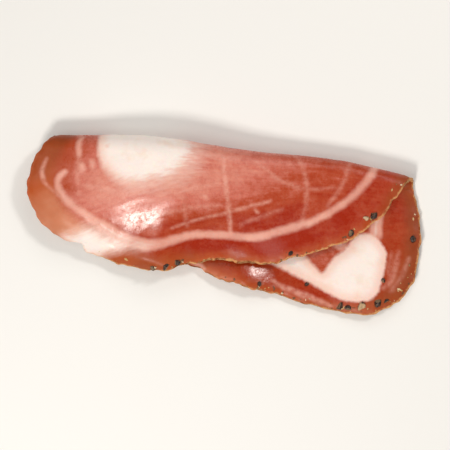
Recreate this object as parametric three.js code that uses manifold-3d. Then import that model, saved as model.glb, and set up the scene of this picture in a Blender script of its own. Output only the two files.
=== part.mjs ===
// One thin slice of coppa, the cured and rolled neck of pork, folded over once and laid down.
// Millimetres, +Z up. The back of the fold runs nearly along X, and both halves reach towards
// -Y. The lower half lies flat, and shows past the upper half at the front right.
//
// The slice is first thought of as flat: "along" runs along the fold, and "across" runs over
// it, from the lower half (negative) to the upper half (positive). A walk across the slice
// then gives each point its folded place, at its true distance over the meat.

import * as THREE from "three";
import { mergeVertices } from "three/addons/utils/BufferGeometryUtils.js";
import Module from "manifold-3d";

const sliceThickness = 1.3;
const rimThinning = { share: 0.3, from: 0.96 }; // the cut rim is thinner than the slice
const rimRound = 0.45; // how far the middle of the rim stands out past its two edges
const layerGap = 0.55; // air between the two halves where they lie on each other

const flatCentre = { along: 4, across: -2.5 };
const flatRadius = 42.9;
// Each lobe stretches the flat outline: how many times round, by how much, and turned how far.
const flatLobes = [
  { times: 1, reach: 0.5, turn: 87 },
  { times: 2, reach: 10.1, turn: -19.3 },
  { times: 3, reach: 1.1, turn: -30 },
  { times: 4, reach: 2.1, turn: -36.2 },
  { times: 5, reach: 0.65, turn: -30 },
  { times: 6, reach: 0.7, turn: 29 },
  { times: 7, reach: 0.6, turn: 11 },
  { times: 8, reach: 0.45, turn: 20.8 },
  { times: 9, reach: 0.5, turn: -2.7 },
];
const foldDent = { at: 177.5, depth: 3.1, width: 6.5 }; // the rim is drawn in where the fold ends
const rimNicks = [
  { times: 23, reach: 0.2, turn: 4 },
  { times: 41, reach: 0.12, turn: 2 },
];

// The back of the fold, seen from above, and the half circle that the meat makes there.
const fold = { turn: -6.4, bow: 2.2, bowSpan: 50, sway: 0.5, swayLength: 50, swayTurn: 34 };
const roll = { radius: 2.7, swell: 1.9, at: -12, width: 24 };

// The rim of the lower half lifts off the floor in ripples, clear of the fold.
const lowerRim = { from: 0.62, offFold: 8, onFront: 20, lift: 0.5, height: 1.9 };
const lowerRipples = [
  { times: 9, reach: 0.5, turn: 2.4 },
  { times: 4, reach: 0.35, turn: -6.2 },
];

// The upper half falls from the fold to rest on the lower one, in a few long soft swellings.
const fall = { from: 1, to: 26 };
const overhang = { from: 1.03, to: 1.22 }; // past the lower half it sinks towards the floor
const wave = { from: 6, to: 18, lift: 0.9, rimFrom: 0.7, rimLift: 0.45 };
// Lean is the angle of a swelling's length to the fold; its back may be wider than its front.
const swellings = [
  { height: 1.5, along: -22, across: 22.1, lean: 14.5, width: 8.4, backWidth: 8.4, length: 22 },
  { height: 1.9, along: -12.2, across: 26.8, lean: 40, width: 5.2, backWidth: 7.5, length: 10.5 },
  { height: -0.9, along: 14, across: 17, lean: 20.4, width: 7, backWidth: 7, length: 24 },
];
const upperRipples = [
  { times: 8, reach: 0.55, turn: 7.7 },
  { times: 13, reach: 0.25, turn: 6.9 },
];

const columns = 40; // cells along the fold
const rows = 52; // cells across it
const rowBunching = 0.25; // draws the rows together at the fold, where the meat bends most
const walkSteps = 60;
const steepest = 0.09; // least part of a step, squared, that still goes forward

// Cracked pepper from the crust, pressed into the rim: where round the flat rim, how near to
// it, how big, and on which face (1 inside the fold, -1 outside it).
const pepperGrains = [
  { at: -72, share: 0.965, size: 0.5, face: 1 },
  { at: -53.5, share: 0.86, size: 0.5, face: 1 },
  { at: -47.6, share: 0.969, size: 0.8, face: 1 },
  { at: -45.8, share: 0.975, size: 0.65, face: 1 },
  { at: -42.3, share: 0.965, size: 0.95, face: 1 },
  { at: -37.8, share: 0.971, size: 0.85, face: 1 },
  { at: -35.6, share: 0.982, size: 0.55, face: 1 },
  { at: -31.9, share: 0.9, size: 0.5, face: 1 },
  { at: -16, share: 0.97, size: 0.7, face: 1 },
  { at: 22, share: 0.972, size: 0.85, face: -1 },
  { at: 25, share: 0.96, size: 0.6, face: -1 },
  { at: 33, share: 0.976, size: 0.7, face: -1 },
  { at: 58.1, share: 0.976, size: 0.5, face: -1 },
  { at: 106.5, share: 0.974, size: 0.65, face: -1 },
  { at: 109.5, share: 0.98, size: 0.8, face: -1 },
  { at: 113.6, share: 0.976, size: 0.6, face: -1 },
];
const pepper = { stretch: 1.35, flatness: 0.8, sunk: 0.2, tip: 0.5 };
const pepperSeed = 5;

const radians = THREE.MathUtils.degToRad;
const smooth = THREE.MathUtils.smoothstep;
const bell = (distance) => Math.exp(-distance * distance);

// The flat slice

function lobeSum(lobes, angle) {
  return lobes.reduce(
    (sum, lobe) => sum + lobe.reach * Math.cos(lobe.times * (angle - radians(lobe.turn))),
    0,
  );
}

function evenRim(angle) {
  const offDent = THREE.MathUtils.euclideanModulo(angle, 2 * Math.PI) - radians(foldDent.at);
  return flatRadius + lobeSum(flatLobes, angle) - foldDent.depth * bell(offDent / radians(foldDent.width));
}

function flatPoint(share, angle) {
  const radius = share * (evenRim(angle) + lobeSum(rimNicks, angle));
  return {
    along: flatCentre.along + radius * Math.cos(angle),
    across: flatCentre.across + radius * Math.sin(angle),
  };
}

// How near a flat point is to the rim: 0 at the middle, 1 on the rim.
function shareOf(along, across) {
  const x = along - flatCentre.along;
  const y = across - flatCentre.across;
  const angle = Math.atan2(y, x);
  return { share: Math.hypot(x, y) / evenRim(angle), angle };
}

// The fold

function rollRadius(along) {
  return roll.radius + roll.swell * bell((along - roll.at) / roll.width);
}

function lowerRise(along, across) {
  const { share, angle } = shareOf(along, across);
  const nearRim = smooth(share, lowerRim.from, 1) * smooth(-across, lowerRim.offFold, lowerRim.onFront);
  const ripple = Math.max(lowerRim.lift + lobeSum(lowerRipples, angle), 0);
  return nearRim * (lowerRim.lift + lowerRim.height * ripple);
}

function swelling(form, along, across) {
  const lean = radians(form.lean);
  const x = along - form.along;
  const y = across - form.across;
  const off = x * Math.sin(lean) + y * Math.cos(lean);
  return form.height * bell(off / (off > 0 ? form.width : form.backWidth)) * bell(x / form.length);
}

function upperWave(along, across) {
  const { share, angle } = shareOf(along, across);
  const atRim = smooth(share, wave.rimFrom, 1) * (wave.rimLift + lobeSum(upperRipples, angle));
  const swelled = swellings.reduce((sum, form) => sum + swelling(form, along, across), 0);
  return smooth(across, wave.from, wave.to) * (wave.lift + swelled + atRim);
}

// The height at which the upper half would just lie: on the lower half, or on the floor past it.
function restingHeight(along, forward, radius) {
  const below = -(forward + (Math.PI / 2 - 1) * radius);
  const covered = 1 - smooth(shareOf(along, below).share, overhang.from, overhang.to);
  return sliceThickness / 2 + (lowerRise(along, below) + sliceThickness + layerGap) * covered;
}

function upperHeight(along, forward, distance, radius) {
  const top = sliceThickness / 2 + 2 * radius;
  const settled = smooth(distance, fall.from, fall.to);
  return (
    top * (1 - settled) +
    restingHeight(along, forward, radius) * settled +
    upperWave(along, distance + (Math.PI / 2) * radius)
  );
}

// Distance forward of the fold's back and height above the floor, for a flat point.
function walkAcross(along, across) {
  const radius = rollRadius(along);
  const halfRoll = (Math.PI / 2) * radius;
  const low = sliceThickness / 2;
  if (Math.abs(across) <= halfRoll) {
    const turn = (Math.PI / 2) * (across / halfRoll + 1);
    return { forward: radius * (1 - Math.sin(turn)), height: low + radius * (1 - Math.cos(turn)) };
  }
  const upper = across > 0;
  const step = (Math.abs(across) - halfRoll) / walkSteps;
  let forward = radius;
  let height = upper ? low + 2 * radius : low;
  for (let i = 1; i <= walkSteps; i++) {
    const next = upper
      ? upperHeight(along, forward, step * i, radius)
      : low + lowerRise(along, -(halfRoll + step * i));
    const climb = next - height;
    forward += Math.sqrt(Math.max(step * step - climb * climb, steepest * step * step));
    height = next;
  }
  return { forward, height };
}

const foldTurn = radians(fold.turn);
const alongFold = new THREE.Vector3(Math.cos(foldTurn), Math.sin(foldTurn), 0);
const offFold = new THREE.Vector3(Math.sin(foldTurn), -Math.cos(foldTurn), 0);

function foldedPoint(along, across) {
  const { forward, height } = walkAcross(along, across);
  const bow = fold.bow * (along / fold.bowSpan) ** 2;
  const sway = fold.sway * Math.sin((2 * Math.PI * along) / fold.swayLength + radians(fold.swayTurn));
  return new THREE.Vector3(0, 0, height)
    .addScaledVector(alongFold, along)
    .addScaledVector(offFold, forward + bow + sway);
}

// The normal points into the fold: up from the lower half, down from the upper one.
function foldedNormal(along, across) {
  const reach = 0.4;
  const alongStep = foldedPoint(along + reach, across).sub(foldedPoint(along - reach, across));
  const acrossStep = foldedPoint(along, across + reach).sub(foldedPoint(along, across - reach));
  return alongStep.cross(acrossStep).normalize();
}

// face is -1 outside the fold, 1 inside it, and 0 in the middle of the meat.
function sheetPoint(share, angle, face) {
  const { along, across } = flatPoint(share, angle);
  const thinned = 1 - rimThinning.share * smooth(share, rimThinning.from, 1);
  return foldedPoint(along, across).addScaledVector(
    foldedNormal(along, across),
    (face * thinned * sliceThickness) / 2,
  );
}

// The slice as one closed sheet

// A square of cells is drawn out to the round slice, so that no row of cells meets in a point.
function discSpot(column, row) {
  const u = (2 * column) / columns - 1;
  const evenV = (2 * row) / rows - 1;
  const v = evenV * (1 - rowBunching + rowBunching * evenV * evenV);
  const x = u * Math.sqrt(1 - (v * v) / 2);
  const y = v * Math.sqrt(1 - (u * u) / 2);
  return { share: Math.hypot(x, y), angle: Math.atan2(y, x) };
}

function rimSpots() {
  const spots = [];
  for (let i = 0; i < columns; i++) spots.push([i, 0]);
  for (let j = 0; j < rows; j++) spots.push([columns, j]);
  for (let i = columns; i > 0; i--) spots.push([i, rows]);
  for (let j = rows; j > 0; j--) spots.push([0, j]);
  return spots;
}

function sliceGeometry() {
  const positions = [];
  const triangles = [];
  const facePoints = (columns + 1) * (rows + 1);
  const outer = (column, row) => row * (columns + 1) + column;
  const inner = (column, row) => facePoints + outer(column, row);

  for (const face of [-1, 1])
    for (let row = 0; row <= rows; row++)
      for (let column = 0; column <= columns; column++) {
        const { share, angle } = discSpot(column, row);
        positions.push(...sheetPoint(share, angle, face).toArray());
      }

  // Both faces split each cell the same way, and are wound opposite ways.
  for (let row = 0; row < rows; row++)
    for (let column = 0; column < columns; column++)
      for (const [corner, wound] of [[outer, -1], [inner, 1]]) {
        const a = corner(column, row);
        const b = corner(column + 1, row);
        const c = corner(column + 1, row + 1);
        const d = corner(column, row + 1);
        triangles.push(...(wound > 0 ? [a, b, c, a, c, d] : [a, c, b, a, d, c]));
      }

  const spots = rimSpots();
  const rimStart = 2 * facePoints;
  for (const [column, row] of spots) {
    const { angle } = discSpot(column, row);
    positions.push(...sheetPoint(1 + rimRound / flatRadius, angle, 0).toArray());
  }
  spots.forEach(([column, row], i) => {
    const next = (i + 1) % spots.length;
    const [nextColumn, nextRow] = spots[next];
    const rimHere = rimStart + i;
    const rimNext = rimStart + next;
    const outerHere = outer(column, row);
    const outerNext = outer(nextColumn, nextRow);
    const innerHere = inner(column, row);
    const innerNext = inner(nextColumn, nextRow);
    triangles.push(outerHere, outerNext, rimNext, outerHere, rimNext, rimHere);
    triangles.push(rimHere, rimNext, innerNext, rimHere, innerNext, innerHere);
  });

  const geometry = new THREE.BufferGeometry();
  geometry.setAttribute("position", new THREE.Float32BufferAttribute(positions, 3));
  geometry.setIndex(triangles);
  return geometry;
}

// The pepper

function pepperGeometry({ at, share, size, face }) {
  const spread = (reach) => reach * (2 * THREE.MathUtils.seededRandom() - 1);
  const angle = radians(at);
  const grain = new THREE.IcosahedronGeometry(size, 0);
  grain.scale(pepper.stretch, 1, pepper.flatness);
  grain.rotateZ(spread(Math.PI));
  grain.rotateX(spread(pepper.tip));
  const { along, across } = flatPoint(share, angle);
  const centre = sheetPoint(share, angle, face).addScaledVector(
    foldedNormal(along, across),
    face * size * pepper.sunk,
  );
  grain.translate(centre.x, centre.y, centre.z);
  return grain;
}

// Joining the sheet and its pepper into one solid

const wasm = await Module();
wasm.setup();

function solidOf(geometry) {
  const bare = geometry.clone();
  bare.deleteAttribute("normal");
  bare.deleteAttribute("uv");
  const merged = mergeVertices(bare, 1e-4);
  return new wasm.Manifold(
    new wasm.Mesh({
      numProp: 3,
      vertProperties: merged.attributes.position.array,
      triVerts: new Uint32Array(merged.index.array),
    }),
  );
}

function geometryOf(solid) {
  const mesh = solid.getMesh();
  const geometry = new THREE.BufferGeometry();
  geometry.setAttribute("position", new THREE.BufferAttribute(mesh.vertProperties, 3));
  geometry.setIndex(new THREE.BufferAttribute(mesh.triVerts, 1));
  return geometry;
}

// The origin is at the middle of the slice's box, on the surface that it lies on.
function centred(geometry) {
  geometry.computeBoundingBox();
  const middle = geometry.boundingBox.getCenter(new THREE.Vector3());
  geometry.translate(-middle.x, -middle.y, -geometry.boundingBox.min.z);
  geometry.computeVertexNormals();
  return geometry;
}

function coppaSlice() {
  THREE.MathUtils.seededRandom(pepperSeed);
  const joined = pepperGrains.reduce(
    (solid, grain) => solid.add(solidOf(pepperGeometry(grain))),
    solidOf(sliceGeometry()),
  );
  const curedMeat = new THREE.MeshStandardMaterial({ color: 0xb5533f, roughness: 0.38, metalness: 0 });
  const mesh = new THREE.Mesh(centred(geometryOf(joined)), curedMeat);
  mesh.name = "coppa_slice";
  return mesh;
}

const coppa = new THREE.Group();
coppa.add(coppaSlice());

export default coppa;
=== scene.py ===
import math
import bpy
import numpy as np
from mathutils import Matrix, Vector, noise


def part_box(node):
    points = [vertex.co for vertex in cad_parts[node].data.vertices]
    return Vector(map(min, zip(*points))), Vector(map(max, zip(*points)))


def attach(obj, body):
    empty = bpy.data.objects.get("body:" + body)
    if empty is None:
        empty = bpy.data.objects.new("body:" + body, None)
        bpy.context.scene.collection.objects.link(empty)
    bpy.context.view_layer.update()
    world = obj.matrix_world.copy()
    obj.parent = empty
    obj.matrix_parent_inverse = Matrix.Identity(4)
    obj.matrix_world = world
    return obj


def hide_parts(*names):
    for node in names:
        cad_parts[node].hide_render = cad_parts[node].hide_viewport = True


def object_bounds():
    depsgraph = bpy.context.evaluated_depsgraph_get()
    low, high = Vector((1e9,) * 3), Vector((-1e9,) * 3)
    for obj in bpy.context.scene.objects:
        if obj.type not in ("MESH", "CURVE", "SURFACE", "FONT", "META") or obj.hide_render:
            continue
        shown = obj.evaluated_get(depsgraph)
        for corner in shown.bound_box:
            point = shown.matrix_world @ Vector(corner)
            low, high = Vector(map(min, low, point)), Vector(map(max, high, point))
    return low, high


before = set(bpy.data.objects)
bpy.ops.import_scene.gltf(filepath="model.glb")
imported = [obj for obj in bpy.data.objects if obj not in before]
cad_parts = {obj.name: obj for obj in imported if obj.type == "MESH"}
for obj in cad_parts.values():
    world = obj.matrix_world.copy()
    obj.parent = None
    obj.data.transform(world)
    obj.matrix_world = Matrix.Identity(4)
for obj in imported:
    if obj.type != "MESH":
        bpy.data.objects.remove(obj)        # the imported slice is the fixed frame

# A folded slice of coppa. Sizes of the meat are in millimetres, as a cook would measure them,
# and everything is turned into metres when it is placed.

mm = 0.001
cadLow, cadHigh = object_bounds()
sliceLow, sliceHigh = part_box("coppa_slice")

# The same named sizes as the solid slice has, so that the meat lies where the solid is.
sliceForm = {
    "thickness": 1.3, "rimThinning": 0.3, "rimThinFrom": 0.96, "rimRound": 0.45, "layerGap": 0.55,
    "centre": (4, -2.5), "radius": 42.9,
    "lobes": [(1, 0.5, 87), (2, 10.1, -19.3), (3, 1.1, -30), (4, 2.1, -36.2), (5, 0.65, -30),
              (6, 0.7, 29), (7, 0.6, 11), (8, 0.45, 20.8), (9, 0.5, -2.7)],    # times, reach, turn
    "nicks": [(23, 0.2, 4), (41, 0.12, 2)],
    "fineNicks": [(67, 0.09, 1), (103, 0.06, 2), (149, 0.04, 0.5)],    # finer than the solid's
    "snips": [(137.7, -0.9, 1.7), (134, 0.7, 1.9)],    # torn places of the rim: at, reach, width
    "dentAt": 177.5, "dentDepth": 3.1, "dentWidth": 6.5,
}
foldForm = {
    "turn": -6.4, "bow": 2.2, "bowSpan": 50, "sway": 0.5, "swayLength": 50, "swayTurn": 34,
    "rollRadius": 2.7, "rollSwell": 1.9, "rollAt": -12, "rollWidth": 24,
    "fallFrom": 1, "fallTo": 26, "overhangFrom": 1.03, "overhangTo": 1.22,
    "steps": 60, "steepest": 0.09,
}
lowerForm = {
    "from": 0.62, "offFold": 8, "onFront": 20, "lift": 0.5, "height": 1.9,
    "ripples": [(9, 0.5, 2.4), (4, 0.35, -6.2)],
}
upperForm = {
    "from": 6, "to": 18, "lift": 0.9, "rimFrom": 0.7, "rimLift": 0.45,
    "ripples": [(8, 0.55, 7.7), (13, 0.25, 6.9)],
    "swellings": [        # height, place along and across, lean to the fold, width to the front and back, length
        (1.5, (-22, 22.1), 14.5, (8.4, 8.4), 22),
        (1.9, (-12.2, 26.8), 40, (5.2, 7.5), 10.5),
        (-0.9, (14, 17), 20.4, (7, 7), 24),
    ],
}


# Small tools

def deselectAll():
    bpy.ops.object.select_all(action="DESELECT")


def pickOnly(piece):
    deselectAll()
    piece.select_set(True)
    bpy.context.view_layer.objects.active = piece


def applyModifiers(piece):
    pickOnly(piece)
    for modifier in list(piece.modifiers):
        bpy.ops.object.modifier_apply(modifier=modifier.name)


def readVectors(items, name):
    vectors = np.empty(len(items) * 3)
    items.foreach_get(name, vectors)
    return vectors.reshape(-1, 3)


def writePoints(mesh, points):
    mesh.vertices.foreach_set("co", points.ravel())
    mesh.update()


def keepValue(mesh, name, values):
    layer = mesh.attributes.new(name, "FLOAT", "POINT")
    layer.data.foreach_set("value", np.asarray(values, np.float32))


def readValue(mesh, name):
    values = np.empty(len(mesh.vertices))
    mesh.attributes[name].data.foreach_get("value", values)
    return values


def smooth(value, low, high):
    t = np.clip((value - low) / (high - low), 0, 1)
    return t * t * (3 - 2 * t)


def bell(distance):
    return np.exp(-distance * distance)


def softNoise(x, y, cell, seed):        # smooth random hills, 0 to 1, one to a cell
    cells = 97
    lattice = np.random.default_rng(seed).random((cells, cells))
    columnAt, rowAt = np.floor(x / cell).astype(int), np.floor(y / cell).astype(int)
    s = smooth(x / cell - columnAt, 0, 1)
    t = smooth(y / cell - rowAt, 0, 1)
    corner = lambda i, j: lattice[(columnAt + i) % cells, (rowAt + j) % cells]
    near = corner(0, 0) * (1 - s) + corner(1, 0) * s
    far = corner(0, 1) * (1 - s) + corner(1, 1) * s
    return near * (1 - t) + far * t


# The flat slice and its fold, as in the solid

def lobeSum(lobes, angle):
    return sum(reach * np.cos(times * (angle - math.radians(turn))) for times, reach, turn in lobes)


def evenRim(angle):
    offDent = np.mod(angle, 2 * math.pi) - math.radians(sliceForm["dentAt"])
    drawnIn = sliceForm["dentDepth"] * bell(offDent / math.radians(sliceForm["dentWidth"]))
    return sliceForm["radius"] + lobeSum(sliceForm["lobes"], angle) - drawnIn


def tornRim(angle):
    turned = np.degrees(np.mod(angle, 2 * math.pi))
    snips = sum(reach * bell((turned - at) / width) for at, reach, width in sliceForm["snips"])
    return lobeSum(sliceForm["fineNicks"], angle) + snips


def flatPoint(share, angle, fine=0.0):
    radius = evenRim(angle) + lobeSum(sliceForm["nicks"], angle) + fine * tornRim(angle)
    along = sliceForm["centre"][0] + share * radius * np.cos(angle)
    across = sliceForm["centre"][1] + share * radius * np.sin(angle)
    return along, across


def shareOf(along, across):
    x = along - sliceForm["centre"][0]
    y = across - sliceForm["centre"][1]
    angle = np.arctan2(y, x)
    return np.hypot(x, y) / evenRim(angle), angle


def rollRadius(along):
    swell = bell((along - foldForm["rollAt"]) / foldForm["rollWidth"])
    return foldForm["rollRadius"] + foldForm["rollSwell"] * swell


def lowerRise(along, across):
    share, angle = shareOf(along, across)
    nearRim = smooth(share, lowerForm["from"], 1) * smooth(-across, lowerForm["offFold"], lowerForm["onFront"])
    ripple = np.maximum(lowerForm["lift"] + lobeSum(lowerForm["ripples"], angle), 0)
    return nearRim * (lowerForm["lift"] + lowerForm["height"] * ripple)


def swelling(form, along, across):
    height, (atAlong, atAcross), lean, (width, backWidth), length = form
    lean = math.radians(lean)
    off = (along - atAlong) * math.sin(lean) + (across - atAcross) * math.cos(lean)
    return height * bell(off / np.where(off > 0, width, backWidth)) * bell((along - atAlong) / length)


def upperWave(along, across):
    share, angle = shareOf(along, across)
    atRim = smooth(share, upperForm["rimFrom"], 1) * (upperForm["rimLift"] + lobeSum(upperForm["ripples"], angle))
    swellings = sum(swelling(form, along, across) for form in upperForm["swellings"])
    return smooth(across, upperForm["from"], upperForm["to"]) * (upperForm["lift"] + swellings + atRim)


def restingHeight(along, forward, radius):        # on the lower half, or on the floor past it
    below = -(forward + (math.pi / 2 - 1) * radius)
    covered = 1 - smooth(shareOf(along, below)[0], foldForm["overhangFrom"], foldForm["overhangTo"])
    thickness = sliceForm["thickness"]
    return thickness / 2 + (lowerRise(along, below) + thickness + sliceForm["layerGap"]) * covered


def upperHeight(along, forward, distance, radius):
    top = sliceForm["thickness"] / 2 + 2 * radius
    settled = smooth(distance, foldForm["fallFrom"], foldForm["fallTo"])
    fallen = top * (1 - settled) + restingHeight(along, forward, radius) * settled
    return fallen + upperWave(along, distance + math.pi / 2 * radius)


def walkAcross(along, across):        # distance off the back of the fold, and height
    radius = rollRadius(along)
    halfRoll = math.pi / 2 * radius
    low = sliceForm["thickness"] / 2
    turn = math.pi / 2 * (np.clip(across / halfRoll, -1, 1) + 1)
    forward = radius * (1 - np.sin(turn))
    height = low + radius * (1 - np.cos(turn))
    for upper in (False, True):
        beyond = across > halfRoll if upper else across < -halfRoll
        a, r, start = along[beyond], radius[beyond], halfRoll[beyond]
        step = (np.abs(across[beyond]) - start) / foldForm["steps"]
        f = r.copy()
        h = np.full_like(r, low) + (2 * r if upper else 0)
        for i in range(1, foldForm["steps"] + 1):
            if upper:
                nextHeight = upperHeight(a, f, step * i, r)
            else:
                nextHeight = low + lowerRise(a, -(start + step * i))
            climb = nextHeight - h
            f = f + np.sqrt(np.maximum(step * step - climb * climb, foldForm["steepest"] * step * step))
            h = nextHeight
        forward[beyond] = f
        height[beyond] = h
    return forward, height


def foldedPoint(along, across):
    forward, height = walkAcross(along, across)
    bow = foldForm["bow"] * (along / foldForm["bowSpan"]) ** 2
    swayAngle = 2 * math.pi * along / foldForm["swayLength"] + math.radians(foldForm["swayTurn"])
    forward = forward + bow + foldForm["sway"] * np.sin(swayAngle)
    turn = math.radians(foldForm["turn"])
    x = along * math.cos(turn) + forward * math.sin(turn)
    y = along * math.sin(turn) - forward * math.cos(turn)
    return np.stack([x, y, height], -1)


def foldedNormal(along, across, reach=0.4):        # points into the fold
    alongStep = foldedPoint(along + reach, across) - foldedPoint(along - reach, across)
    acrossStep = foldedPoint(along, across + reach) - foldedPoint(along, across - reach)
    normal = np.cross(alongStep, acrossStep)
    return normal / np.linalg.norm(normal, axis=-1, keepdims=True)


def thinned(share):        # the share of the full thickness, less towards the rim
    return 1 - sliceForm["rimThinning"] * smooth(share, sliceForm["rimThinFrom"], 1)


def sheetPoint(share, angle, face):
    along, across = flatPoint(share, angle)
    offset = (face * thinned(share) * sliceForm["thickness"] / 2)[..., None]
    return foldedPoint(along, across) + foldedNormal(along, across) * offset


rimShare = 1 + sliceForm["rimRound"] / sliceForm["radius"]        # the round rim stands out a little


def frameShift():        # from the fold's own middle to the frame's middle
    angle = np.linspace(-math.pi, math.pi, 1441)
    rim = sheetPoint(np.full_like(angle, rimShare), angle, 0 * angle)
    along = np.linspace(-42, 54, 400)        # the whole length of the fold
    back = foldedPoint(along, 0 * along)
    back[:, 1] += sliceForm["thickness"] / 2
    outline = np.concatenate([rim, back])
    middle = (outline.min(0) + outline.max(0)) / 2
    wanted = (sliceLow + sliceHigh) / 2
    return np.array([wanted.x / mm - middle[0], wanted.y / mm - middle[1], 0.0])


partShift = frameShift()


# The marbling, laid out on the flat slice in millimetres along and across it

seams = {        # pale seams between the muscles: along, across and half width at each point
    "mainSeam": [(-38.4, 11, 0.45), (-39.6, 12.2, 0.6), (-39.9, 14.4, 0.65), (-38.4, 16.8, 0.65), (-36.6, 18.9, 0.7),
                 (-34.3, 20.6, 0.65), (-31.6, 22.3, 0.7), (-28.9, 24.3, 1), (-25.8, 26.6, 1.35), (-22.6, 28.6, 1.45),
                 (-18.8, 30, 1.4), (-14.5, 30.7, 1.3), (-9.2, 29, 1.05), (-4.2, 27.3, 0.95), (0.6, 25.9, 0.85),
                 (6.1, 24.8, 0.85), (12.2, 24, 0.85), (18.7, 21.6, 0.9), (24, 19.3, 0.9), (27.8, 17.4, 0.75),
                 (34, 12.4, 0.7), (40, 4.5, 0.8), (43.6, -6, 1), (44, -18, 1.6)],
    "lowerSeam": [(-40.6, -3, 0.2), (-38.6, -9.5, 0.7), (-32, -17.8, 0.8), (-22, -22.5, 0.9), (-10, -24.8, 0.7),
                  (2, -26.6, 0.6), (12, -29, 0.5)],
    "crossSeam": [(-13, -2, 1.6), (-6, -8, 1.1), (4, -11.6, 0.8), (15, -13.4, 0.7), (26, -18, 0.9),
                  (35, -22.5, 1.6)],
    "sideSeam": [(-13, -6, 1), (-18, -13, 0.6), (-21, -21.5, 0.7)],
    "leftTop": [(-34.6, 2.2, 0.2), (-35.4, 3.4, 0.5), (-35.4, 5, 0.45), (-35.1, 6.6, 0.2)],
    "tornEdge": [(-3.4, -32.6, 0.3), (-2.2, -33.1, 0.5), (-0.9, -33.6, 0.45), (0.3, -34.2, 0.25)],
    "spotOne": [(-34.1, 9.6, 0.45), (-33.6, 10.3, 0.4)],
    "spotTwo": [(-31.7, 8.7, 0.45), (-31.3, 9.8, 0.5)],
}
thinSeams = {        # thinner, half sunk in the meat
    "outerSeam": [(-43.5, 7.6, 0.2), (-44.3, 10.8, 0.45), (-43.4, 13.6, 0.35), (-41.2, 15.7, 0.15),
                  (-39.3, 17.4, 0.1)],
    "rimStreak": [(18, -34.4, 0.2), (21.5, -36, 0.5), (25.6, -37, 0.7), (30.1, -38, 0.6), (34.6, -39.2, 0.3)],
    "riseOne": [(-9.4, 25.6, 0.1), (-3.5, 22.4, 0.3), (4.2, 18.7, 0.35), (10.1, 15.8, 0.35), (15.4, 13.7, 0.2)],
    "rightMark": [(2, 5, 0.1), (3.4, 11.8, 0.45), (4.8, 17.3, 0.4), (6, 24.2, 0.35)],
    "spotThree": [(-2.1, 15.4, 0.35), (-1.3, 15.8, 0.3)],
    "spotFour": [(11.8, 16.8, 0.3), (12.5, 17.3, 0.25)],
}
faintSeams = {        # hardly more than a paler streak
    "leftMark": [(-35.6, 0.5, 0.7), (-34.9, 9.6, 0.6), (-34.3, 17.2, 0.2)],
    "midMark": [(-7.9, 11, 0.3), (-6.8, 17.6, 0.35), (-5.7, 24.5, 0.3)],
    "riseTwo": [(-15.7, 23.6, 0.1), (-10.4, 21.4, 0.4), (-3.9, 18.7, 0.4), (2.1, 16.8, 0.1)],
    "riseThree": [(-9.7, 16.2, 0.2), (-4.4, 14, 0.35), (1.5, 11.3, 0.2)],
    "riseFour": [(8.2, 21.3, 0.15), (12.8, 18.6, 0.35), (18.7, 15.6, 0.15)],
    "rightOne": [(11, 4.5, 0.1), (17.5, 8.2, 0.35), (24.5, 9.6, 0.3), (31.5, 8.4, 0.1)],
    "rightTwo": [(20.5, 1, 0.1), (23.6, 6.5, 0.4), (24.8, 12, 0.3), (24.2, 18.6, 0.35)],
    "rightThree": [(30.5, 13.2, 0.15), (33.6, 7, 0.3), (35.2, 0.5, 0.1)],
    "underEye": [(-34, 14.6, 0.2), (-27.2, 15.8, 0.4), (-21.1, 16.9, 0.5), (-16.4, 15.6, 0.45), (-10.5, 12.9, 0.2)],
    "sideMark": [(47.4, -31.4, 0.2), (49.6, -28.4, 0.6), (50.6, -21, 0.3)],
    "sideFork": [(49.4, -28.8, 0.3), (48.4, -26, 0.3), (48.8, -21.6, 0.1)],
    "edgeMark": [(49.6, -31.6, 0.2), (52, -27, 0.35), (53.4, -22, 0.2)],
}
fatBodies = {        # the larger fat: how far its edge dissolves, between which places along, and its outline
    "fatEye": ((1, -32, -7), [
        (-30.6, 3.2), (-30.2, 6.8), (-28.4, 10.3), (-25, 13.6), (-20.6, 15.1), (-16.2, 14.6), (-11.8, 13.3),
        (-8.2, 11.2), (-5.5, 6.5), (-5.2, 2), (-9.2, -1.6), (-17, -4.8), (-25, -4.2), (-30, -1)]),
    "cornerFat": ((0.04, 40, 30), [
        (39, -19.4), (37.6, -22), (36.2, -24.2), (34.2, -26), (32.8, -28.4), (31.2, -31), (29, -29.3), (27.1, -27.8),
        (25.5, -26.4), (22, -26.4), (17.5, -27.6), (15.2, -29.2), (19, -30.6), (24.6, -32.8), (30.5, -34.9),
        (36.8, -36.8), (40.6, -36.6), (44.2, -35.4), (46.2, -33.2), (46.8, -30.5), (47.5, -25), (47.2, -21.6),
        (43.5, -18.4)]),
    "creamPatch": ((0.36, -60, -50), [
        (-37.6, 28.2), (-34.2, 26.6), (-31, 25.2), (-26.6, 27.4), (-22, 29.6), (-18.4, 30.6), (-15.6, 31.2),
        (-17.6, 32), (-21.6, 32.6), (-25.4, 33.8), (-28.4, 35.4), (-33.6, 33.6)]),
    "hiddenFat": ((0.3, -60, -50), [
        (-35, -9), (-30, -11.6), (-26.6, -17), (-30.4, -18.4), (-35.4, -14)]),
}

# Patches of the meat: where each is, its reach along and across, and how strong it is

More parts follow.
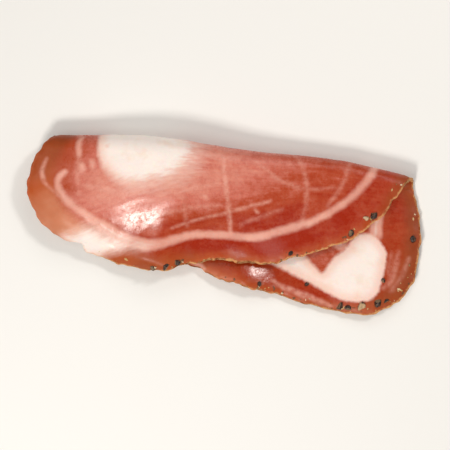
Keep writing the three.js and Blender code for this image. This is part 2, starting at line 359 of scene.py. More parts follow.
tonesAndPaintedLight = [        # pale above 0, deep below; most patches are the meat's own tone, two are painted shade and one is partly a painted sheen
    ((-13, 18), (20, 8), 0.6),
    # paler under the fat eye: partly the meat's tone, partly a painted sheen
    ((-30, 14), (10, 8), 0.62),
    ((-1, 6), (17, 7.5), 0.88),
    # painted shade on the slope that falls away right of the ridge
    ((-7, 24.5), (11, 4), -0.65),
    # painted shade in the shallow hollow
    ((13, 20), (15, 4.5), -0.8),
    ((30, 12), (16, 9), -0.35),
    ((-40, 10), (5, 12), -0.5),
    ((10, -31), (18, 6), -0.32),
    ((27, -28), (5, 5), -0.1),
    ((51, -26), (6, 12), -0.4),
    ((10, -14), (26, 8), 0.2),
]
browned = [        # dried to a tawny brown
    ((-41.5, 8), (6, 12), 0.55),
    ((-15, 35), (11, 4), 0.8),
    ((50, -26), (7, 12), 0.6),
    ((8, -34), (22, 6), 0.5),
]
crinkles = [        # finely wrinkled skin
    ((-17.4, 23.4), (4.4, 3.3), 1),
    ((-11.5, 7.5), (5.5, 5.5), 0.5),
    ((-19.5, 12), (6, 6), 0.5),
    ((14.8, -34), (4, 4), 1.2),
    ((-24.6, 31.4), (3.4, 3.4), 0.2),
    ((35.5, -29), (4, 4), 0.4),
]

# Parts of the rim: the angle round the flat rim, its reach, and how much there is

outerTones = [        # the tone outside the seams
    (72, 44, -0.85), (120, 14, -0.8), (-8, 30, -0.4), (-70, 34, -0.8), (-130, 40, -0.35),
]
outerPart = (0.75, 0.84)        # from which share of the radius that tone starts and is full
rimGlow = [        # how wide the amber edge is
    (172, 26, 6.8), (150, 12, 7), (114, 12, 4.6), (60, 50, 1), (-25, 24, 4.2), (-70, 26, 1.2),
    (-140, 34, 3),
]
rimTints = [        # above 0 that edge is tan, below 0 it is brown
    (182, 22, -0.72), (148, 12, 0.85), (130, 8, -0.1), (112, 12, -0.55), (60, 40, 0.1),
    (-12, 28, -0.8), (-60, 22, -0.1), (-115, 30, 0.2),
]
rimCrust = [        # brown crust
    (175, 34, 0.05), (106, 18, 0.9), (55, 34, 0.75), (0, 30, 0.6), (-50, 24, 0.8), (-95, 24, 0.45),
    (-140, 30, 0.3),
]


def smoothCurve(points, between):        # passes evenly through all points but the first and the last
    p = np.array(points, float)
    t = np.linspace(0, 1, between, endpoint=False)[:, None]
    return np.concatenate([
        0.5 * (2 * b + (c - a) * t + (2 * a - 5 * b + 4 * c - d) * t ** 2 + (3 * b - a - 3 * c + d) * t ** 3)
        for a, b, c, d in zip(p, p[1:], p[2:], p[3:])])


def nearestOn(start, end, along, across):        # the nearest place on a straight piece, 0 to 1, and how far off
    span = end[:2] - start[:2]
    place = np.clip(((along - start[0]) * span[0] + (across - start[1]) * span[1]) / span.dot(span), 0, 1)
    return place, np.hypot(along - start[0] - place * span[0], across - start[1] - place * span[1])


def seamDepth(curves, along, across):        # above 0 inside a seam, in millimetres
    depth = np.full(along.shape, -30.0)
    for points in curves.values():
        p = np.array(points, float)
        p = np.concatenate([[2 * p[0] - p[1]], p, [2 * p[-1] - p[-2]]])
        line = np.concatenate([smoothCurve(p, 8), p[-2:-1]])
        for start, end in zip(line, line[1:]):
            place, off = nearestOn(start, end, along, across)
            depth = np.maximum(depth, start[2] + (end[2] - start[2]) * place - off)
    return depth


def insideDepth(outline, along, across):        # above 0 inside a closed outline, in millimetres
    line = smoothCurve([outline[-1], *outline, outline[0], outline[1]], 6)
    distance = np.full(along.shape, 99.0)
    inside = np.zeros(along.shape, bool)
    for start, end in zip(line, np.roll(line, -1, axis=0)):
        distance = np.minimum(distance, nearestOn(start, end, along, across)[1])
        crossed = (start[1] > across) != (end[1] > across)
        rise = end[1] - start[1]
        reach = start[0] + (across - start[1]) * (end[0] - start[0]) / (rise if rise else 1e-9)
        inside ^= crossed & (along < reach)
    return np.where(inside, distance, -distance)


def fatDepths(along, across):        # depth inside the fat bodies, and how much their edge melts
    depth = np.full(along.shape, -30.0)
    melt = np.zeros(along.shape)
    weight = np.full(along.shape, 1e-6)
    for (reach, start, end), outline in fatBodies.values():
        own = insideDepth(outline, along, across)
        near = np.exp(np.clip(own, -12, 6) * 0.9)        # how much this body counts here
        melt += reach * np.clip((along - start) / (end - start), 0, 1) * near
        weight += near
        depth = np.maximum(depth, own)
    return depth, melt / weight


def patchSum(patches, along, across):
    total = np.zeros(along.shape)
    for (atAlong, atAcross), (reachAlong, reachAcross), amount in patches:
        total += amount * bell(np.hypot((along - atAlong) / reachAlong, (across - atAcross) / reachAcross))
    return total


def roundRim(angle, parts):        # what each part of the rim gives at an angle, and how near it is
    for at, reach, amount in parts:
        off = np.mod(angle - math.radians(at) + math.pi, 2 * math.pi) - math.pi
        yield amount, bell(off / math.radians(reach))


def evenRound(angle, parts):        # a value that passes evenly from part to part round the rim
    total = np.full(angle.shape, 1e-6)
    value = np.zeros(angle.shape)
    for amount, near in roundRim(angle, parts):
        value += amount * near
        total += near
    return value / total


def meatToneAndPaintedLight(along, across, share, angle):
    # the tone patches, painted shade and a painted sheen among them, then the tone outside the seams
    tone = patchSum(tonesAndPaintedLight, along, across)
    for amount, near in roundRim(angle, outerTones):
        tone += amount * near * smooth(share, *outerPart)
    return tone


# The slice itself

sliceMesh = {
    "cellsAlong": 196, "cellsAcross": 206, "bunching": 0.25,
    "bevel": 0.3, "bevelSegments": 3, "bevelAngle": 50,
    "fatRise": 0.07, "fatEdge": (-0.6, 0.9), "seamRise": 0.04, "seamEdge": (-0.5, 0.5),
    "seamGroove": 0.025, "grooveAt": -0.9, "grooveWidth": 0.7,
    "fibreRelief": 0.05, "fibreSlant": 0.36, "slantOver": (1, 14), "slantAbout": -14, "fibresFromRim": (2, 9),
    "hills": 0.12, "hillSize": 3.4, "rimRoughness": 0.16, "rimRoughSize": 1.3, "rimRoughReach": 1.6,
    "wrinkleRelief": 0.018, "wrinkleSize": (0.8, 1.2), "wrinkleTurn": 58,
    "settled": (0.05, 0.9),        # the relief comes in between these heights: what lies on the floor stays level
    "flatMapSpan": 120,        # millimetres of flat slice to one whole of the flat map
}


def discMapped(points):        # a square of cells drawn out to the round slice
    u = points[:, 0]
    v = points[:, 1] * (1 - sliceMesh["bunching"] + sliceMesh["bunching"] * points[:, 1] ** 2)
    x = u * np.sqrt(1 - v * v / 2)
    y = v * np.sqrt(1 - u * u / 2)
    return np.hypot(x, y), np.arctan2(y, x)


def keepFlatMap(mesh, along, across):
    layer = mesh.uv_layers.new(name="flatMap")
    corners = np.empty(len(mesh.loops), int)
    mesh.loops.foreach_get("vertex_index", corners)
    span = sliceMesh["flatMapSpan"]
    flat = np.stack([along[corners], across[corners]], -1) / span + 0.5
    layer.data.foreach_set("uv", flat.ravel())


def keepFields(mesh, along, across, share, angle):
    fat, melt = fatDepths(along, across)
    rim = (1 - share) * evenRim(angle)
    slant = sliceMesh["fibreSlant"] * smooth(np.abs(across), *sliceMesh["slantOver"]) * np.sign(across)
    fields = {
        "along": along, "across": across, "fatDepth": fat, "fatMelt": melt,
        "seamDepth": seamDepth(seams, along, across),
        "thinDepth": seamDepth(thinSeams, along, across),
        "faintDepth": seamDepth(faintSeams, along, across),
        "rimDepth": rim,
        "glowDepth": evenRound(angle, rimGlow) - rim,
        "rimTint": evenRound(angle, rimTints),
        "crust": evenRound(angle, rimCrust),
        # tone: the meat's tone with painted shade and a painted sheen in it
        "tone": meatToneAndPaintedLight(along, across, share, angle),
        "crinkle": patchSum(crinkles, along, across),
        "browned": patchSum(browned, along, across),
        "fibreOver": across + slant * (along - sliceMesh["slantAbout"]),
    }
    for name, values in fields.items():
        keepValue(mesh, name, values)


def addSheet():
    deselectAll()
    bpy.ops.mesh.primitive_grid_add(
        x_subdivisions=sliceMesh["cellsAlong"], y_subdivisions=sliceMesh["cellsAcross"], size=2)
    piece = bpy.context.object
    piece.name = "slice_meat"
    mesh = piece.data
    share, angle = discMapped(readVectors(mesh.vertices, "co"))
    along, across = flatPoint(share * rimShare, angle, fine=share ** 8)        # torn at the rim alone
    keepFields(mesh, along, across, share, angle)
    keepFlatMap(mesh, along, across)
    weights = piece.vertex_groups.new(name="thickness")
    for index, weight in enumerate(thinned(share)):
        weights.add([index], float(weight), "REPLACE")
    writePoints(mesh, (foldedPoint(along, across) + partShift) * mm)
    return piece


def thickenSheet(piece):
    solid = piece.modifiers.new("meat", "SOLIDIFY")
    solid.thickness = sliceForm["thickness"] * mm
    solid.offset = 0
    solid.use_even_offset = True
    solid.vertex_group = "thickness"
    solid.thickness_vertex_group = 0
    edge = piece.modifiers.new("roundRim", "BEVEL")
    edge.width = sliceMesh["bevel"] * mm
    edge.segments = sliceMesh["bevelSegments"]
    edge.limit_method = "ANGLE"
    edge.angle_limit = math.radians(sliceMesh["bevelAngle"])
    applyModifiers(piece)
    piece.vertex_groups.clear()


def faceOutwards(piece):
    pickOnly(piece)
    bpy.ops.object.mode_set(mode="EDIT")
    bpy.ops.mesh.select_all(action="SELECT")
    bpy.ops.mesh.normals_make_consistent(inside=False)
    bpy.ops.object.mode_set(mode="OBJECT")


def wrinkleNoise(along, across):        # fine wrinkles, slantwise over the slice
    turn = math.radians(sliceMesh["wrinkleTurn"])
    short, long = sliceMesh["wrinkleSize"]
    over = (along * math.cos(turn) - across * math.sin(turn)) / short
    down = (along * math.sin(turn) + across * math.cos(turn)) / long
    return (softNoise(over, down, 1.0, 7) - 0.5) * 2


def addRelief(piece):
    mesh, form = piece.data, sliceMesh
    names = ("along", "across", "fatDepth", "seamDepth", "rimDepth", "fibreOver", "crinkle")
    along, across, fat, seam, rim, fibreOver, crinkle = (readValue(mesh, name) for name in names)
    inFat = smooth(fat, *form["fatEdge"])
    inSeam = smooth(seam, *form["seamEdge"])
    beside = bell((seam - form["grooveAt"]) / form["grooveWidth"])
    fibres = softNoise(along, fibreOver, 1.0, 3) * 0.4 + softNoise(along / 7, fibreOver / 0.8, 1.0, 4) * 0.6 - 0.5
    hills = softNoise(along, across, form["hillSize"], 5) - 0.5
    rough = softNoise(along, across, form["rimRoughSize"], 6) - 0.5
    offRim = smooth(rim, *form["fibresFromRim"])
    height = (form["wrinkleRelief"] * (wrinkleNoise(along, across) * crinkle) + form["fatRise"] * inFat
              + form["seamRise"] * inSeam - form["seamGroove"] * beside
              + form["fibreRelief"] * 2 * fibres * (1 - inFat) * (1 - inSeam) * (1 - crinkle) * offRim
              + form["hills"] * hills * (1 - crinkle)
              + form["rimRoughness"] * 2 * rough * bell(rim / form["rimRoughReach"]))
    points = readVectors(mesh.vertices, "co")
    low, high = form["settled"]
    lifted = smooth(points[:, 2], low * mm, high * mm)
    points += readVectors(mesh.vertex_normals, "vector") * (height * lifted)[:, None] * mm
    points[:, 2] = np.maximum(points[:, 2], 0)
    writePoints(mesh, points)


def makeSlice():
    piece = addSheet()
    thickenSheet(piece)
    faceOutwards(piece)
    addRelief(piece)
    pickOnly(piece)
    bpy.ops.object.shade_smooth()
    print("slice:", len(piece.data.polygons), "faces")
    return piece


# Pepper and crumbs of the crust

pepperForm = {
    "grains": [        # angle round the flat rim, how near to it, size, face, and whether it is a pale core
        (-72, 0.965, 0.5, 1, 0), (-53.5, 0.86, 0.5, 1, 0), (-47.6, 0.969, 0.8, 1, 0), (-45.8, 0.975, 0.65, 1, 0),
        (-42.3, 0.965, 0.95, 1, 1), (-37.8, 0.971, 0.85, 1, 0), (-35.6, 0.982, 0.55, 1, 0), (-31.9, 0.9, 0.5, 1, 0),
        (-16, 0.97, 0.7, 1, 0), (22, 0.972, 0.85, -1, 0), (25, 0.96, 0.6, -1, 1), (33, 0.976, 0.7, -1, 0),
        (58.1, 0.976, 0.5, -1, 0), (106.5, 0.974, 0.65, -1, 0), (109.5, 0.98, 0.8, -1, 0), (113.6, 0.976, 0.6, -1, 0),
    ],
    "stretch": 1.35, "flatness": 0.8, "sunk": 0.2, "tip": 0.5, "seed": 5,
    "wrinkle": 0.34, "wrinkleScale": 1.7, "paleInDark": 0.4,
    "brokenSides": [        # of each kind of grain: which way they face, and how far out
        [], [((0.9, 0.2, 0.35), 0.5)], [((-0.5, 0.8, 0.3), 0.35), ((0.8, -0.3, -0.2), 0.6)],
        [((0.1, -0.6, 0.8), 0.62)],
        [((0.2, 0.1, 0.97), 0.25), ((0.8, 0.4, 0.5), 0.4)],
    ],
}
crumbForm = {
    "count": 90, "size": 0.2, "sizeSpread": 0.12, "flatness": 0.7, "kinds": 4, "wrinkle": 0.5, "wrinkleScale": 1.1,
    "around": 9, "rimGap": 0.002, "inwards": 0.035, "crowding": 1.6, "sunk": 0.1, "tip": 0.5, "seed": 11,
}


def pepperDraws(seed):        # the same draws as the solid's grains are placed by
    state = seed
    while True:
        state = (state + 0x6D2B79F5) & 0xFFFFFFFF
        t = ((state ^ (state >> 15)) * (state | 1)) & 0xFFFFFFFF
        t ^= (t + (((t ^ (t >> 7)) * (t | 61)) & 0xFFFFFFFF)) & 0xFFFFFFFF
        yield ((t ^ (t >> 14)) & 0xFFFFFFFF) / 4294967296


def pepperSpots():
    form = pepperForm
    draws = pepperDraws(form["seed"])
    spread = lambda reach: reach * (2 * next(draws) - 1)
    next(draws)
    darkKinds = len(form["brokenSides"]) - 1
    spots = []
    for index, (at, share, size, face, pale) in enumerate(form["grains"]):
        turn, tip = spread(math.pi), spread(form["tip"])
        spots.append({
            "angle": math.radians(at), "share": share, "size": size, "face": face, "stretch": form["stretch"],
            "turns": [(tip, "X"), (turn, "Z")], "shade": pale,
            "kind": darkKinds if pale else index % darkKinds,
        })
    return spots


def crumbSpots():
    form = crumbForm
    random = np.random.default_rng(form["seed"])
    spots = []
    for index in range(form["count"]):
        at, _, _, face, _ = pepperForm["grains"][random.integers(len(pepperForm["grains"]))]
        spots.append({
            "angle": math.radians(at + random.normal() * form["around"]),
            "share": 1 - form["rimGap"] - form["inwards"] * random.random() ** form["crowding"],
            "size": form["size"] + form["sizeSpread"] * (2 * random.random() - 1),
            "face": face, "stretch": 1 + random.random(),
            "turns": [(2 * math.pi * random.random(), "Z"), (random.normal() * form["tip"], "X")],
            "shade": random.random(), "kind": index % form["kinds"],
        })
    return spots


def wrinkledBall(name, divisions, form, shift):
    deselectAll()
    bpy.ops.mesh.primitive_ico_sphere_add(subdivisions=divisions, radius=1)
    ball = bpy.context.object
    ball.name = name
    for vertex in ball.data.vertices:
        spot = vertex.co * form["wrinkleScale"] + Vector(shift)
        creases = abs(noise.noise(spot)) * 1.6 + abs(noise.noise(spot * 2.3)) * 0.7        # coarse and finer ones
        vertex.co *= 1 + form["wrinkle"] * (0.5 - creases)
    return ball


def breakOff(ball, facing, offset):        # one side broken off, leaving a rough pale face
    facing = Vector(facing).normalized()
    broken = []
    for vertex in ball.data.vertices:
        over = vertex.co.dot(facing) - offset
        if over > 0:
            vertex.co -= facing * (over - 0.06 * noise.noise(vertex.co * 5))
        broken.append(1.0 if over > 0.02 else 0.0)
    return np.array(broken)


def grainKinds():        # whole and broken dark grains, and last a pale core with little husk left
    kinds = []
    last = len(pepperForm["brokenSides"]) - 1
    for index, sides in enumerate(pepperForm["brokenSides"]):
        ball = wrinkledBall("grain", 4, pepperForm, (index * 7.3, 2.1, 4.4))
        core = np.zeros(len(ball.data.vertices))
        for facing, offset in sides:
            core = np.maximum(core, breakOff(ball, facing, offset))
        paleness = 1.0 if index == last else pepperForm["paleInDark"]
        keepValue(ball.data, "core", core * paleness)
        kinds.append(ball)
    return kinds


def placeCopy(kind, matrix, shade):        # with its own mesh, and its place in the mesh
    copy = kind.copy()
    copy.data = kind.data.copy()
    bpy.context.collection.objects.link(copy)
    copy.data.transform(matrix)
    keepValue(copy.data, "shade", np.full(len(copy.data.vertices), shade))
    return copy


def rimPlaces(spots, sunk):        # places on the skin near the rim
    angle, share, face, size = (np.array([spot[name] for spot in spots], float)
                                for name in ("angle", "share", "face", "size"))
    outwards = foldedNormal(*flatPoint(share, angle)) * face[:, None]
    return (sheetPoint(share, angle, face) + partShift + outwards * (size * sunk)[:, None]) * mm


def strew(name, form, spots, kinds):        # copies of the kinds on the rim, joined to one piece
    bits = []
    for spot, place in zip(spots, rimPlaces(spots, form["sunk"])):
        size = spot["size"] * mm
        matrix = Matrix.Translation(place)
        for turn, axis in spot["turns"]:
            matrix = matrix @ Matrix.Rotation(turn, 4, axis)
        matrix = matrix @ Matrix.Diagonal((size * spot["stretch"], size, size * form["flatness"], 1))
        bits.append(placeCopy(kinds[spot["kind"]], matrix, spot["shade"]))
    for kind in kinds:
        bpy.data.objects.remove(kind)
    deselectAll()
    for bit in bits:
        bit.select_set(True)
    bpy.context.view_layer.objects.active = bits[0]
    bpy.ops.object.join()
    piece = bpy.context.object
    piece.name = name
    bpy.ops.object.shade_smooth_by_angle(angle=math.radians(40))        # broken edges stay crisp
    print(name + ":", len(spots), "bits")
    return piece


def makePepper():
    return strew("pepper_grains", pepperForm, pepperSpots(), grainKinds())


def makeCrumbs():
    kinds = [wrinkledBall("crumb", 2, crumbForm, (3.7 * i, 9.2, 1.3)) for i in range(crumbForm["kinds"])]
    return strew("crust_crumbs", crumbForm, crumbSpots(), kinds)


# Material tools

def freshMaterial(name):
    material = bpy.data.materials.new(name)
    material.use_nodes = True
    tree = material.node_tree
    tree.nodes.clear()
    output = tree.nodes.new("ShaderNodeOutputMaterial")
    shader = tree.nodes.new("ShaderNodeBsdfPrincipled")
    tree.links.new(shader.outputs["BSDF"], output.inputs["Surface"])
    return material, tree, shader


def feed(tree, socket, source):        # a socket takes another node's output, or a plain value
    if isinstance(source, bpy.types.NodeSocket):
        tree.links.new(source, socket)
    else:
        socket.default_value = source


def calculate(tree, operation, a, b, c=0.0):
    node = tree.nodes.new("ShaderNodeMath")
    node.operation = operation
    for socket, source in zip(node.inputs, (a, b, c)):
        feed(tree, socket, source)
    return node.outputs[0]


def plus(tree, total, *others):
    for other in others:
        total = calculate(tree, "ADD", total, other)
    return total


def times(tree, product, *others):
    for other in others:
        product = calculate(tree, "MULTIPLY", product, other)
    return product


def timesPlus(tree, value, factor, added):
    return calculate(tree, "MULTIPLY_ADD", value, factor, added)


def swing(tree, pattern, reach, about=0.0):        # a pattern of 0 to 1 swings this far in all about a value
    return timesPlus(tree, pattern, reach, about - reach / 2)


def ramped(tree, value, low, high, toLow=0.0, toHigh=1.0):
    node = tree.nodes.new("ShaderNodeMapRange")
    node.interpolation_type = "SMOOTHSTEP"
    for socket, source in zip(node.inputs, (value, low, high, toLow, toHigh)):
        feed(tree, socket, source)
    return node.outputs["Result"]


def blend(tree, amount, first, second):        # a colour is three numbers or another node's output
    node = tree.nodes.new("ShaderNodeMix")
    node.data_type = "RGBA"
    feed(tree, node.inputs[0], amount)
    for socket, colour in ((node.inputs[6], first), (node.inputs[7], second)):
        feed(tree, socket, (*colour, 1) if isinstance(colour, tuple) else colour)
    return node.outputs[2]


def colourBand(tree, look, value, stops):
    node = tree.nodes.new("ShaderNodeValToRGB")
    ramp = node.color_ramp
    while len(ramp.elements) < len(stops):
        ramp.elements.new(0.5)
    for element, (place, name) in zip(ramp.elements, stops):
        element.position = place
        element.color = (*look[name], 1)
    feed(tree, node.inputs[0], value)
    return node.outputs[0]


def cloud(tree, vector, scale, detail=3.0, roughness=0.55, distortion=0.0):
    node = tree.nodes.new("ShaderNodeTexNoise")
    names = ("Vector", "Scale", "Detail", "Roughness", "Distortion")
    for name, source in zip(names, (vector, scale, detail, roughness, distortion)):
        feed(tree, node.inputs[name], source)
    return node.outputs["Fac"]


def stretched(tree, vector, scale):
    node = tree.nodes.new("ShaderNodeMapping")
    feed(tree, node.inputs["Vector"], vector)
    node.inputs["Scale"].default_value = scale
    return node.outputs[0]


def attributeOf(tree, name):
    node = tree.nodes.new("ShaderNodeAttribute")
    node.attribute_name = name
    return node.outputs["Fac"]


def surfaceGrain():        # fine bumps and flecks that the meat, the pepper and the crumbs share
    group = bpy.data.node_groups.new("surfaceGrain", "ShaderNodeTree")
    for name, kind in (("Vector", "NodeSocketVector"), ("Scale", "NodeSocketFloat"), ("Height", "NodeSocketFloat")):
        group.interface.new_socket(name=name, in_out="INPUT", socket_type=kind)
    for name in ("Height", "Flecks"):
        group.interface.new_socket(name=name, in_out="OUTPUT", socket_type="NodeSocketFloat")
    vector, scale, height = group.nodes.new("NodeGroupInput").outputs[:3]
    end = group.nodes.new("NodeGroupOutput")
    coarse = cloud(group, vector, scale, 2.0, 0.5)
    fine = cloud(group, vector, times(group, scale, 3.1), 1.0, 0.5)
    feed(group, end.inputs["Height"], times(group, timesPlus(group, fine, 0.4, coarse), height))
    feed(group, end.inputs["Flecks"], ramped(group, fine, 0.56, 0.68))
    return group


grainGroup = surfaceGrain()


def grain(tree, vector, scale, height):
    node = tree.nodes.new("ShaderNodeGroup")
    node.node_tree = grainGroup
    feed(tree, node.inputs["Vector"], vector)
    node.inputs["Scale"].default_value = scale
    feed(tree, node.inputs["Height"], height)
    return node.outputs["Height"], node.outputs["Flecks"]


def bumped(tree, height):        # heights are in millimetres
    node = tree.nodes.new("ShaderNodeBump")
    node.inputs["Distance"].default_value = mm
    feed(tree, node.inputs["Height"], height)
    return node.outputs[0]


# The meat

meatLook = {
    "deep": (0.355, 0.02, 0.003), "red": (0.45, 0.066, 0.024), "rose": (0.61, 0.17, 0.12),
    "pale": (0.77, 0.33, 0.245), "tawny": (0.4, 0.066, 0.012), "seam": (0.83, 0.43, 0.34),
    "amber": (0.48, 0.092, 0.016), "brown": (0.27, 0.046, 0.006), "tan": (0.7, 0.3, 0.17),
    "crust": (0.27, 0.07, 0.018), "crustPale": (0.68, 0.38, 0.15),
    "fat": (0.925, 0.82, 0.77), "fatPink": (0.85, 0.5, 0.4), "fatShade": (0.85, 0.65, 0.52),
    "roughness": 0.28, "crustRoughness": 0.25, "softerRoughness": 0.2, "wrinkleGloss": -0.03,
    "specular": 0.3, "coat": 1, "coatRoughness": 0.2,
    "subsurface": 0.2, "subsurfaceRadius": (1, 0.3, 0.18), "subsurfaceScale": 1.2,
}
meatClouds = {        # where it is laid, stretch, scale, and the rest of what cloud takes
    "ragged": ("flat", None, 0.75, 5, 0.6),
    "fray": ("fibre", (0.3, 1.1, 1), 1),
    "streaks": ("fibre", (0.08, 0.55, 1), 1, 4, 0.55, 0.5),
    "threads": ("fibre", (0.3, 2.2, 1), 1, 3, 0.6, 0.4),
    "clouds": ("flat", None, 0.13),
    "mottle": ("flat", None, 0.55, 4, 0.6),
    "crossing": ("flat", (1.5, 0.5, 1), 1, 3, 0.6, 0.6),
    "wander": ("flat", None, 0.3, 2),
    "specks": ("flat", None, 1.6, 2),
    "crumbly": ("flat", None, 1.3, 4, 0.65),
    "beads": ("flat", None, 1, 2, 0.6),
}
meatShades = {"clouds": 0.6, "streaks": 0.4, "mottle": 0.34, "specks": 0.2}        # how much each changes the tone
meatReach = {        # in millimetres; an edge is where a mask starts and where it is full
    "melting": 6, "softness": 0.5, "meltSoftness": 5, "thinFat": (3.5, 0),
    "seamWander": 1.2, "seamRagged": 0.2, "seamEdge": (-0.85, 0.6), "deepSeam": (0.7, 2.2),
    "thinWander": 0.5, "thinEdge": (-0.7, 0.5), "faintWander": 0.6, "faintEdge": (-0.9, 0.6),
    "glowRagged": 1.6, "glowEdge": (-2.4, 1.8), "crustWidth": 1, "crustRagged": -1.3, "crustEdge": (-0.25, 0.25),
    "threadHeight": 0.02, "crossHeight": 0.035, "crustHeight": 0.25,
    "grainHeight": 0.015, "wrinkleHeight": 0.09, "fatHeight": -0.02, "fatMottle": 0.14,
}


def veinNet(tree, vector, scale, stretch):        # thin lines between long bundles, 1 on a line
    wobble = tree.nodes.new("ShaderNodeTexNoise")
    feed(tree, wobble.inputs["Vector"], vector)
    wobble.inputs["Scale"].default_value = 0.6
    bent = tree.nodes.new("ShaderNodeVectorMath")
    bent.operation = "MULTIPLY_ADD"
    for socket, source in zip(bent.inputs, (wobble.outputs["Color"], (2.0, 1.4, 0.0), vector)):
        feed(tree, socket, source)
    edges = tree.nodes.new("ShaderNodeTexVoronoi")
    edges.feature = "DISTANCE_TO_EDGE"
    feed(tree, edges.inputs["Vector"], stretched(tree, bent.outputs[0], stretch))
    edges.inputs["Scale"].default_value = scale
    return ramped(tree, edges.outputs["Distance"], 0.09, 0.0)


def meatMaterial():
    look, reach = meatLook, meatReach
    material, tree, shader = freshMaterial("curedMeat")
    kept = lambda name: attributeOf(tree, name)
    flatMap = tree.nodes.new("ShaderNodeUVMap")
    flatMap.uv_map = "flatMap"
    alongFibre = tree.nodes.new("ShaderNodeCombineXYZ")
    feed(tree, alongFibre.inputs[0], kept("along"))
    feed(tree, alongFibre.inputs[1], kept("fibreOver"))
    laid = {"flat": stretched(tree, flatMap.outputs[0], (sliceMesh["flatMapSpan"],) * 3),
            "fibre": alongFibre.outputs[0]}
    made = {}
    for name, (place, stretch, *settings) in meatClouds.items():
        vector = stretched(tree, laid[place], stretch) if stretch else laid[place]
        made[name] = cloud(tree, vector, *settings)
    clouds, mottle, threads = made["clouds"], made["mottle"], made["threads"]
    ragged, fray = swing(tree, made["ragged"], 1.0), swing(tree, made["fray"], 1.0)

    # where the fat and the seams are
    melt = kept("fatMelt")
    fatField = plus(tree, ragged, kept("fatDepth"), times(tree, fray, melt, reach["melting"]))
    softness = timesPlus(tree, melt, reach["meltSoftness"], reach["softness"])
    fatMask = ramped(tree, fatField, times(tree, softness, -1.0), softness)
    wander = timesPlus(tree, ragged, reach["seamRagged"], swing(tree, made["wander"], reach["seamWander"]))
    seamField = plus(tree, wander, kept("seamDepth"))
    seamMask = ramped(tree, seamField, *reach["seamEdge"])
    thinField = timesPlus(tree, wander, reach["thinWander"], kept("thinDepth"))
    faintField = timesPlus(tree, wander, reach["faintWander"], kept("faintDepth"))
    sunken = ramped(tree, mottle, 0.35, 0.65, 0.35, 0.75)
    thinMask = times(tree, ramped(tree, thinField, *reach["thinEdge"], 0.0, 0.85), sunken)
    faintMask = times(tree, ramped(tree, faintField, *reach["faintEdge"], 0.0, 0.5), sunken)
    thinMask = calculate(tree, "MAXIMUM", thinMask, faintMask)

    # the meat's colour; its tone carries painted shade beside the ridge and in the hollow, and a painted sheen under
    # the fat eye
    shade = timesPlus(tree, kept("tone"), 0.42, 0.42)
    for name, change in meatShades.items():
        shade = plus(tree, shade, swing(tree, made[name], change))
    meat = colourBand(tree, look, shade, [(0.05, "deep"), (0.35, "red"), (0.62, "rose"), (1.0, "pale")])
    bundles = veinNet(tree, laid["fibre"], 0.5, (0.35, 1.0, 1.0))
    bundles = times(tree, bundles, ramped(tree, mottle, 0.45, 0.7, 0.0, 0.3))
    veins = times(tree, ramped(tree, threads, 0.55, 0.75), ramped(tree, clouds, 0.45, 0.65, 0.0, 0.25))
    veins = calculate(tree, "MAXIMUM", veins, bundles)
    veins = times(tree, veins, ramped(tree, shade, 0.3, 0.6, 0.15, 1.0))
    meat = blend(tree, veins, meat, look["pale"])
    dried = times(tree, kept("browned"), ramped(tree, mottle, 0.3, 0.6, 0.6, 1.0))
    meat = blend(tree, dried, meat, look["tawny"])
    glowField = timesPlus(tree, ragged, reach["glowRagged"], kept("glowDepth"))
    glow = ramped(tree, glowField, *reach["glowEdge"], 0.0, 0.88)
    tint = plus(tree, kept("rimTint"), swing(tree, clouds, 0.8))
    tint = timesPlus(tree, tint, 0.5, 0.5)
    edge = colourBand(tree, look, tint, [(0.1, "brown"), (0.5, "amber"), (1.0, "tan")])
    meat = blend(tree, glow, meat, edge)

    # the fat's colour, pinker where it is thin
    fatVeil = timesPlus(tree, mottle, 0.15, times(tree, clouds, 0.85))
    fat = colourBand(tree, look, fatVeil, [(0.22, "fatPink"), (0.34, "fat"), (0.5, "fat"), (0.75, "fatShade")])
    colour = blend(tree, thinMask, meat, look["seam"])
    seamCover = times(tree, seamMask, ramped(tree, clouds, 0.3, 0.7, 0.68, 0.9))
    colour = blend(tree, seamCover, colour, look["seam"])
    colour = blend(tree, ramped(tree, seamField, *reach["deepSeam"], 0.0, 0.8), colour, fat)
    fat = blend(tree, ramped(tree, fatField, *reach["thinFat"], 0.0, 0.65), fat, look["fatPink"])
    colour = blend(tree, fatMask, colour, fat)

    # the cut rim and its crust
    crustDepth = timesPlus(tree, made["crumbly"], reach["crustRagged"], reach["crustWidth"])
    crustField = calculate(tree, "SUBTRACT", crustDepth, kept("rimDepth"))
    crustMask = times(tree, ramped(tree, crustField, *reach["crustEdge"]), kept("crust"))
    crust = blend(tree, ramped(tree, mottle, 0.5, 0.66), look["crustPale"], look["crust"])
    colour = blend(tree, crustMask, colour, crust)
    feed(tree, shader.inputs["Base Color"], colour)

    # fine relief
    wrinkled = kept("crinkle")
    grainSize = timesPlus(tree, wrinkled, reach["wrinkleHeight"], reach["grainHeight"])
    grainHeight, _ = grain(tree, laid["flat"], 0.8, grainSize)
    anyFat = calculate(tree, "MAXIMUM", fatMask, seamMask)
    leanPart = calculate(tree, "SUBTRACT", 1.0, anyFat)
    crossHeight = times(tree, made["crossing"], reach["crossHeight"])
    threadHeight = times(tree, timesPlus(tree, threads, reach["threadHeight"], crossHeight), leanPart)
    fatHeight = times(tree, anyFat, timesPlus(tree, mottle, reach["fatMottle"], reach["fatHeight"]))
    crustHeight = times(tree, made["crumbly"], crustMask, reach["crustHeight"])
    feed(tree, shader.inputs["Normal"], bumped(tree, plus(tree, grainHeight, threadHeight, fatHeight, crustHeight)))

